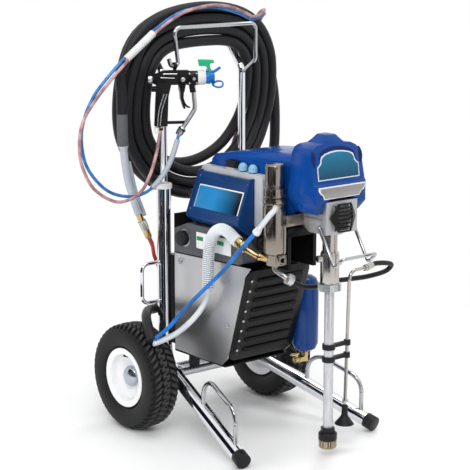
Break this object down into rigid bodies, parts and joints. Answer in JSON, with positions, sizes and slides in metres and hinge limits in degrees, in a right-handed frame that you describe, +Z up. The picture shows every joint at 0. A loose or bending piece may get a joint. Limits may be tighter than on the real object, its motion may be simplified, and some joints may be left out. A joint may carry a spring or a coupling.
{
  "type": "airless paint sprayer",
  "caption": "Cart mounted airless paint sprayer with air assist compressor, piston pump, coiled hose on a telescoping handle and a spray gun hung from its rack.",
  "frame": {"origin": "middle of the bounding box of the rigid parts, on the floor plane that the tyres and leg caps rest on", "axes": "+Z up, -Y towards the pump and the shield at the front, -X towards the side with the controls"},
  "size_m": [0.69, 0.7021, 1.0579],
  "materials": {
    "chrome_tube": "bright chrome plate",
    "grey_plastic": "moulded grey plastic, fine grain",
    "white_plastic": "moulded white plastic",
    "plain_steel": "zinc plated or machined steel",
    "tyre_rubber": "black tyre rubber with tread",
    "white_paint": "white enamel on pressed steel",
    "polished_sheet": "polished stainless sheet",
    "black_paint": "gloss black paint",
    "black_plastic": "black moulded plastic",
    "compressor_metal": "grey cast metal",
    "tank_paint": "gloss blue paint",
    "brass": "machined brass",
    "blue_plastic": "gloss royal blue plastic",
    "navy_plastic": "satin navy blue finish",
    "nickel": "warm nickel plated steel",
    "pale_button": "pale blue rubber cap",
    "black_hose": "black woven jacket or rubber",
    "white_hose": "white and blue flexible hose",
    "air_line": "thin blue and pink air lines",
    "guard_blue": "bright blue plastic with a white ring",
    "tip_green": "bright green plastic"
  },
  "bodies": {
    "cart": {"left_frame_tube": "chrome_tube", "right_frame_tube": "chrome_tube", "leg_caps": "grey_plastic", "post_collars": "white_plastic", "guard_hoops": "chrome_tube", "cross_tube": "plain_steel", "hose_bracket": "chrome_tube", "axle": "plain_steel", "chassis": "plain_steel", "left_side_panel": "polished_sheet", "right_side_panel": "polished_sheet", "louvre_cover": "black_paint", "air_console": "grey_plastic", "compressor": "compressor_metal", "air_tank": "tank_paint", "tank_valve": "brass", "motor_shroud": "blue_plastic", "front_shield": "blue_plastic", "gear_housing": "compressor_metal", "rod_guard": "black_plastic", "pump_cylinder": "plain_steel", "pump_nut": "plain_steel", "suction_tube": "chrome_tube", "strainer": "black_plastic", "drain_tube": "chrome_tube", "drain_deflector": "black_plastic", "tube_clip": "black_plastic", "filter_bowl": "nickel", "filter_cap": "nickel", "air_fittings": "brass", "control_box": "navy_plastic", "terminal_housing": "grey_plastic", "drain_hose": "black_hose", "air_hoses": "white_hose", "ribbed_hose": "white_hose", "hose_sleeve": "black_hose", "link_hose": "black_hose"},
    "left_wheel": {"left_tyre": "tyre_rubber", "left_rim": "white_paint"},
    "right_wheel": {"right_tyre": "tyre_rubber", "right_rim": "white_paint"},
    "handle": {"handle_tube": "chrome_tube", "hose_rack": "chrome_tube", "hose_coil": "black_hose", "hose_tails": "black_hose", "hose_fittings": "brass", "whip_lines": "air_line", "gun_body": "black_paint"},
    "trigger": {"gun_trigger": "plain_steel"},
    "fan_knob": {"gun_fan_knob": "plain_steel"},
    "tip_guard": {"gun_tip_guard": "guard_blue"},
    "tip": {"gun_tip": "tip_green"},
    "hook": {"pail_hook": "chrome_tube"},
    "prime": {"prime_knob": "black_plastic"},
    "pressure": {"pressure_knob": "black_plastic"},
    "regulator": {"regulator_knob": "black_plastic"},
    "switch": {"power_switch": "black_plastic"},
    "front_button": {"front_breaker": "pale_button"},
    "rear_button": {"rear_breaker": "pale_button"},
    "rod": {"pump_rod": "chrome_tube"}
  },
  "joints": [
    {"name": "left_wheel_spin", "type": "hinge", "parent": "cart", "child": "left_wheel", "pos_m": [-0.218, 0.218, 0.133], "axis": [-1, 0, 0], "continuous": true},
    {"name": "right_wheel_spin", "type": "hinge", "parent": "cart", "child": "right_wheel", "pos_m": [0.218, 0.218, 0.133], "axis": [-1, 0, 0], "continuous": true},
    {"name": "handle_slide", "type": "slide", "parent": "cart", "child": "handle", "axis": [0, 0, 1], "range_m": [-0.12, 0], "deforming": ["link_hose"]},
    {"name": "trigger_pull", "type": "hinge", "parent": "handle", "child": "trigger", "pos_m": [-0.12008, 0.1485, 0.863], "axis": [0.5, 0.866, 0], "range_deg": [0, 16], "stiffness_Nm_per_rad": 0.3, "springref_deg": -11.46},
    {"name": "fan_knob_turn", "type": "hinge", "parent": "handle", "child": "fan_knob", "pos_m": [-0.1833, 0.185, 0.869], "axis": [-0.866, 0.5, 0], "range_deg": [0, 720]},
    {"name": "tip_guard_turn", "type": "hinge", "parent": "handle", "child": "tip_guard", "pos_m": [-0.07938, 0.125, 0.873], "axis": [0.866, -0.5, 0], "range_deg": [-90, 90]},
    {"name": "tip_turn", "type": "hinge", "parent": "tip_guard", "child": "tip", "pos_m": [-0.06379, 0.116, 0.873], "axis": [0, 0, 1], "range_deg": [0, 180]},
    {"name": "pail_hook_swing", "type": "hinge", "parent": "cart", "child": "hook", "pos_m": [0, -0.267, 0.562], "axis": [-1, 0, 0], "range_deg": [0, 60]},
    {"name": "prime_turn", "type": "hinge", "parent": "cart", "child": "prime", "pos_m": [-0.108, -0.132, 0.512], "axis": [0, 1, 0], "range_deg": [0, 90]},
    {"name": "pressure_turn", "type": "hinge", "parent": "cart", "child": "pressure", "pos_m": [-0.11, 0.118, 0.592], "axis": [0, 1, 0], "range_deg": [0, 270]},
    {"name": "regulator_turn", "type": "hinge", "parent": "cart", "child": "regulator", "pos_m": [-0.13, 0.138, 0.482], "axis": [-1, 0, 0], "range_deg": [0, 720]},
    {"name": "switch_rock", "type": "hinge", "parent": "cart", "child": "switch", "pos_m": [-0.081, 0.005, 0.668], "axis": [0, 1, 0], "range_deg": [-12, 12]},
    {"name": "front_breaker_push", "type": "slide", "parent": "cart", "child": "front_button", "axis": [0, 0, -1], "range_m": [0, 0.002], "stiffness_N_per_m": 400, "springref_m": -0.002},
    {"name": "rear_breaker_push", "type": "slide", "parent": "cart", "child": "rear_button", "axis": [0, 0, -1], "range_m": [0, 0.002], "stiffness_N_per_m": 400, "springref_m": -0.002},
    {"name": "rod_stroke", "type": "slide", "parent": "cart", "child": "rod", "axis": [0, 0, -1], "range_m": [0, 0.025]}
  ]
}
